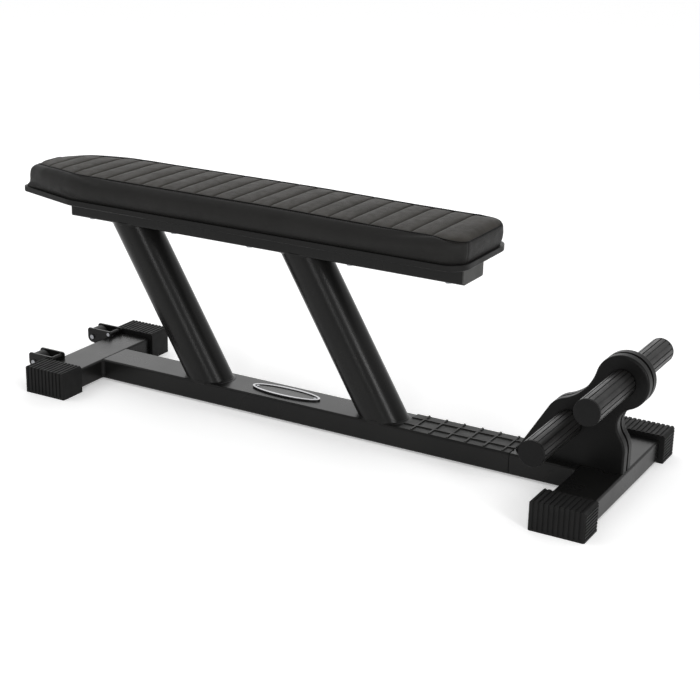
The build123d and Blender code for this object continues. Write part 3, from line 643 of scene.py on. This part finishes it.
def post_weld(name, post, up):
    """Bead around a post's foot (up = 1) or head (up = -1), wider on the side that leans away."""
    low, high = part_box(post)
    level = low[2] if up > 0 else high[2]
    half_y = high[1]
    # The level cut is the leaning oval's section, stretched along X
    half_x = (high[0] - low[0] - (high[2] - low[2]) * tan(POST_LEAN)) / 2
    middle_x = low[0] + half_x if up < 0 else high[0] - half_x
    widening = HEAD_WIDENING if up < 0 else FOOT_WIDENING
    root_in, root_up = POST_WELD_ROOT
    sections = []
    for n in range(POST_WELD_SECTIONS):
        turn = 2 * pi * n / POST_WELD_SECTIONS
        contact = Vector((middle_x + half_x * cos(turn), half_y * sin(turn), level))
        outward = Vector((cos(turn) / half_x, sin(turn) / half_y, 0)).normalized()
        obtuse = max(0.0, cos(turn) * up) ** WIDENING_POWER
        ripple = 1 + BEAD_RIPPLE * sin(turn * POST_WELD_RIPPLES)
        leg = POST_WELD_LEG * ripple * (1 + widening * obtuse)
        on_post = contact + LEAN_UP * (up * leg) + outward * POST_WELD_LIFT
        # The bead's outer edge follows the rounded edges of the tube
        on_tube = contact + outward * leg
        over = min(max(0.0, abs(on_tube.y) - (half_y - TUBE_CORNER)), TUBE_CORNER)
        on_tube.y = copysign(min(abs(on_tube.y), half_y), on_tube.y)
        on_tube.z -= up * (TUBE_CORNER - sqrt(TUBE_CORNER ** 2 - over ** 2) - POST_WELD_LIFT)
        corner = contact + outward * POST_WELD_THROAT
        buried = contact - outward * root_in - Vector((0, 0, up * root_up))
        sections.append(fillet_section(corner, on_post, on_tube, buried))
    new_piece(name, tube_mesh(name, sections), "frame_paint")


def corner_weld(name, rail, bar, side):
    """Upright bead where a rail's side meets a crossbar's face."""
    rail_low, rail_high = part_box(rail)
    bar_low, bar_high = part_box(bar)
    towards_rail = 1 if bar_high[0] < rail_high[0] else -1
    face_x = bar_high[0] if towards_rail > 0 else bar_low[0]
    face_y = rail_high[1] * side
    sections = []
    bottom, top = rail_low[2] + TUBE_CORNER / 2, rail_high[2] - TUBE_CORNER / 2
    for z in even(bottom, top, CORNER_WELD_STEP):
        leg = CORNER_WELD_LEG * (1 + BEAD_RIPPLE * sin(z * CORNER_WELD_RIPPLES))
        corner = Vector((face_x, face_y, z))
        on_bar = corner + Vector((CORNER_WELD_LIFT * towards_rail, side * leg, 0))
        on_rail = corner + Vector((towards_rail * leg, CORNER_WELD_LIFT * side, 0))
        buried = corner - Vector((towards_rail, side, 0)) * CORNER_WELD_ROOT
        sections.append(fillet_section(corner, on_bar, on_rail, buried))
    new_piece(name, tube_mesh(name, sections, closed=False), "frame_paint")


for post in ("rear_post", "front_post"):
    post_weld(f"{post}_foot_weld", post, 1)
    post_weld(f"{post}_head_weld", post, -1)
for side_name, side in (("left", 1), ("right", -1)):
    corner_weld(f"rear_corner_weld_{side_name}", "main_rail", "rear_crossbar", side)
    corner_weld(f"front_corner_weld_{side_name}", "front_rail", "front_crossbar", side)

# ---------------------------------------------------------------- stitches

STITCH = 4.2 * MM
STITCH_GAP = 1.4 * MM
THREAD_RADIUS = 0.55 * MM
THREAD_SIDES = 6
# A stitch's sections: place along it in lengths, then height and radius in thread radii
STITCH_SECTIONS = ((-0.5, -0.5, 0.7), (-0.3, 0.25, 1), (0.3, 0.25, 1), (0.5, -0.5, 0.7))
STITCH_RING = 2  # the border's ring that carries the stitches beside the seam
BARE_CHANNEL_ENDS = 2  # points at each end of a channel that carry no stitches
SIDE_STITCH_LEAN, FOOT_STITCH_LEAN = 0.4, 0.8  # outward for each part upward
WELT_RADIUS = 1.3 * MM
WELT_RISE = 2.3 * MM  # from the sunk seam up to the welt's middle


def resample(line, spacing):
    """Places and directions every spacing along a polyline."""
    out, left = [], 0.0
    for start, end in zip(line, line[1:]):
        run = (end - start).length
        while left <= run:
            out.append((start.lerp(end, left / run), (end - start).normalized()))
            left += spacing
        left -= run
    return out


def stitches(name, lines):
    """Short thread loops laid along lines of points with their outward normals."""
    points, faces = [], []
    for line, lift in lines:
        for place, ahead in resample(line, STITCH + STITCH_GAP):
            side = ahead.cross(lift).normalized()
            up = side.cross(ahead)
            first = len(points)
            for share, height, width in STITCH_SECTIONS:
                centre = place + ahead * (share * STITCH) + up * (height * THREAD_RADIUS)
                for n in range(THREAD_SIDES):
                    turn = 2 * pi * n / THREAD_SIDES
                    radius = THREAD_RADIUS * width
                    points.append(centre + side * (cos(turn) * radius) + up * (sin(turn) * radius))
            for section in range(len(STITCH_SECTIONS) - 1):
                a = first + section * THREAD_SIDES
                for n in range(THREAD_SIDES):
                    m = (n + 1) % THREAD_SIDES
                    faces.append((a + n, a + m, a + m + THREAD_SIDES, a + n + THREAD_SIDES))
            for end in (first, len(points) - THREAD_SIDES):
                faces.append(tuple(end + n for n in range(THREAD_SIDES)))
    new_piece(name, mesh_of(name, points, faces), "thread")


def seam_welt(line):
    """Thin dark cord sewn into the top seam, along a closed line of points."""
    turns = [2 * pi * n / THREAD_SIDES for n in range(THREAD_SIDES)]
    sections = []
    for index, place in enumerate(line):
        ahead = (line[(index + 1) % len(line)] - line[index - 1]).normalized()
        side = ahead.cross(Vector((0, 0, 1))).normalized()
        up = side.cross(ahead)
        middle = place + up * WELT_RISE
        sections.append([
            middle + side * (cos(turn) * WELT_RADIUS) + up * (sin(turn) * WELT_RADIUS)
            for turn in turns
        ])
    new_piece("seam_welt", tube_mesh("seam_welt", sections), "thread")


def sew_cushion(shape, cushion):
    """Stitches in the channels, a welt in the top seam and, but for the head, stitches by it."""
    # The smoothed mesh keeps the plain mesh's points first and in their order
    spot = [vertex.co for vertex in cushion.data.vertices]
    up = Vector((0, 0, 1))
    sewn = slice(BARE_CHANNEL_ENDS, -BARE_CHANNEL_ENDS)
    channels = [([spot[index] for index in shape.top[row][sewn]], up) for row in shape.sewn_rows]
    stitches("channel_stitches", channels)
    seam_welt([spot[index] for index in shape.rings[0]])
    seam = [spot[index] for index in shape.rings[STITCH_RING]]
    rows, columns = len(shape.top), len(ACROSS)
    near_side = seam[:rows]
    foot_end = seam[rows - 1:rows + columns - 1]
    far_side = seam[rows + columns - 2:2 * rows + columns - 2]
    stitches("seam_stitches", [
        (near_side, Vector((0, -SIDE_STITCH_LEAN, 1))),
        (foot_end, Vector((FOOT_STITCH_LEAN, 0, 1))),
        (far_side, Vector((0, SIDE_STITCH_LEAN, 1))),
    ])


sew_cushion(cushion_shape, cushion)

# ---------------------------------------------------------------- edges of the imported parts

BEVEL_ANGLE = radians(35)  # a flatter edge stays as it is
BEVELS = {  # millimetres, for the nodes whose name has the key in it
    "main_rail": 0.8, "front_rail": 0.8, "pad_board": 0.6, "beam_plug": 0.9,
    "wheel_bracket": 0.6, "rear_foot_cap": 0.9, "front_foot_cap": 0.9, "name_plate": 0.7,
    "tread_mat": 0.6, "pad_bolts": 0.6, "joiner_screws": 0.6, "wheel_axle": 0.7,
    "cover_screws": 0.5, "bracket_tie_rivet": 0.5, "roller_sleeve": 0.5,
}


def soften_edges():
    """Small rounded edges on the sharp CAD parts."""
    for name, node in cad_nodes.items():
        widths = [width for key, width in BEVELS.items() if key in name]
        if not widths:
            continue
        bevel = node.modifiers.new("edges", "BEVEL")
        bevel.width = widths[0] * MM
        bevel.segments = 2
        bevel.limit_method = "ANGLE"
        bevel.angle_limit = BEVEL_ANGLE


soften_edges()

# ---------------------------------------------------------------- floor, light, camera

FLOOR_SIZE = 160
FLOOR_LIFT = 0.3  # strength added to the floor as the camera and reflections see it
WORLD_DIM, WORLD_BRIGHT = 0.36, 0.92
BRIGHT_SIDE = (-0.35, 0.8, 0.49)
CAMERA_PLACE = Vector((1.6899, -2.8765, 1.3472))
CAMERA_AZIMUTH = radians(29.179)
CAMERA_ELEVATION = radians(19.348)
CAMERA_ROLL = radians(1.342)
LENS = 80.56


def seen(nodes, links):
    """1 for rays from the eye, mirrored or through glass, 0 for the light shed on the object."""
    path = nodes.new("ShaderNodeLightPath")
    total = path.outputs["Is Camera Ray"]
    for name in ("Is Glossy Ray", "Is Transmission Ray"):
        either = nodes.new("ShaderNodeMath")
        either.operation = "MAXIMUM"
        links.new(total, either.inputs[0])
        links.new(path.outputs[name], either.inputs[1])
        total = either.outputs["Value"]
    return total


def pale_floor():
    """White floor that keeps the object's shadow."""
    material = bpy.data.materials.new("pale_floor")
    material.use_nodes = True
    nodes, links = material.node_tree.nodes, material.node_tree.links
    shader = nodes["Principled BSDF"]
    shader.inputs["Base Color"].default_value = (0.93, 0.93, 0.93, 1)
    shader.inputs["Roughness"].default_value = 0.9
    shader.inputs["Specular IOR Level"].default_value = 0.1
    shader.inputs["Emission Color"].default_value = (1, 1, 1, 1)
    lift = nodes.new("ShaderNodeMath")
    lift.operation = "MULTIPLY"
    lift.inputs[1].default_value = FLOOR_LIFT
    links.new(seen(nodes, links), lift.inputs[0])
    links.new(lift.outputs["Value"], shader.inputs["Emission Strength"])
    return material


def build_stage():
    """Large pale floor."""
    half = FLOOR_SIZE / 2
    mesh = bpy.data.meshes.new("floor")
    corners = [(-half, -half, 0), (half, -half, 0), (half, half, 0), (-half, half, 0)]
    mesh.from_pydata(corners, [], [(0, 1, 2, 3)])
    floor = bpy.data.objects.new("floor", mesh)
    bpy.context.scene.collection.objects.link(floor)
    mesh.materials.append(pale_floor())


def build_world():
    """Pale studio all round, brightest on the far side and above."""
    world = bpy.data.worlds.new("studio")
    world.use_nodes = True
    bpy.context.scene.world = world
    nodes, links = world.node_tree.nodes, world.node_tree.links
    facing = nodes.new("ShaderNodeVectorMath")
    facing.operation = "DOT_PRODUCT"
    facing.inputs[1].default_value = Vector(BRIGHT_SIDE).normalized()
    links.new(nodes.new("ShaderNodeTexCoord").outputs["Generated"], facing.inputs[0])
    strength = nodes.new("ShaderNodeMapRange")
    strength.inputs["From Min"].default_value = -1
    strength.inputs["To Min"].default_value = WORLD_DIM
    strength.inputs["To Max"].default_value = WORLD_BRIGHT
    links.new(facing.outputs["Value"], strength.inputs["Value"])
    links.new(strength.outputs["Result"], nodes["Background"].inputs["Strength"])
    nodes["Background"].inputs["Color"].default_value = (1, 1, 1, 1)


def softbox(name, place, target, size, power, long_side=(0, 0, 1)):
    """Rectangular lamp that looks at a target, its second side along a given direction."""
    light = bpy.data.lights.new(name, "AREA")
    light.shape = "RECTANGLE"
    light.size, light.size_y = size
    light.energy = power
    lamp = bpy.data.objects.new(name, light)
    back = (Vector(place) - Vector(target)).normalized()
    across = Vector(long_side).cross(back).normalized()
    turn = Matrix((across, back.cross(across), back)).transposed()
    lamp.matrix_world = Matrix.Translation(place) @ turn.to_4x4()
    lamp.visible_camera = False
    bpy.context.scene.collection.objects.link(lamp)


def build_camera():
    """Camera at the photograph's viewing angle."""
    ahead = Vector((
        -sin(CAMERA_AZIMUTH) * cos(CAMERA_ELEVATION),
        cos(CAMERA_AZIMUTH) * cos(CAMERA_ELEVATION),
        -sin(CAMERA_ELEVATION),
    ))
    right = ahead.cross(Vector((0, 0, 1))).normalized()
    up = right.cross(ahead)
    rolled_right = right * cos(CAMERA_ROLL) + up * sin(CAMERA_ROLL)
    rolled_up = up * cos(CAMERA_ROLL) - right * sin(CAMERA_ROLL)
    lens = bpy.data.cameras.new("camera")
    lens.lens = LENS
    lens.sensor_width = 36
    camera = bpy.data.objects.new("camera", lens)
    turn = Matrix((rolled_right, rolled_up, -ahead)).transposed()
    camera.matrix_world = Matrix.Translation(CAMERA_PLACE) @ turn.to_4x4()
    bpy.context.scene.collection.objects.link(camera)
    bpy.context.scene.camera = camera


build_stage()
build_world()
softbox("key", place=(-2.2, -1.2, 2.6), target=(0, 0, 0.3), size=(1.6, 1.6), power=10)
softbox("back", place=(-1.85, 3.3, 1.4), target=(0, 0, 0), size=(4, 1.8), power=20)
# Two strips along the posts draw the long highlights on them
softbox(
    "strip_high", place=(1.84, -6.0, 2.75), target=(-0.2, 0, 0.25),
    size=(1.0, 2.8), power=72, long_side=LEAN_UP,
)
softbox(
    "strip_low", place=(5.08, -2.54, 2.03), target=(-0.2, 0, 0.25),
    size=(0.9, 2.6), power=100, long_side=LEAN_UP,
)
build_camera()
bpy.context.scene.view_settings.view_transform = "Standard"
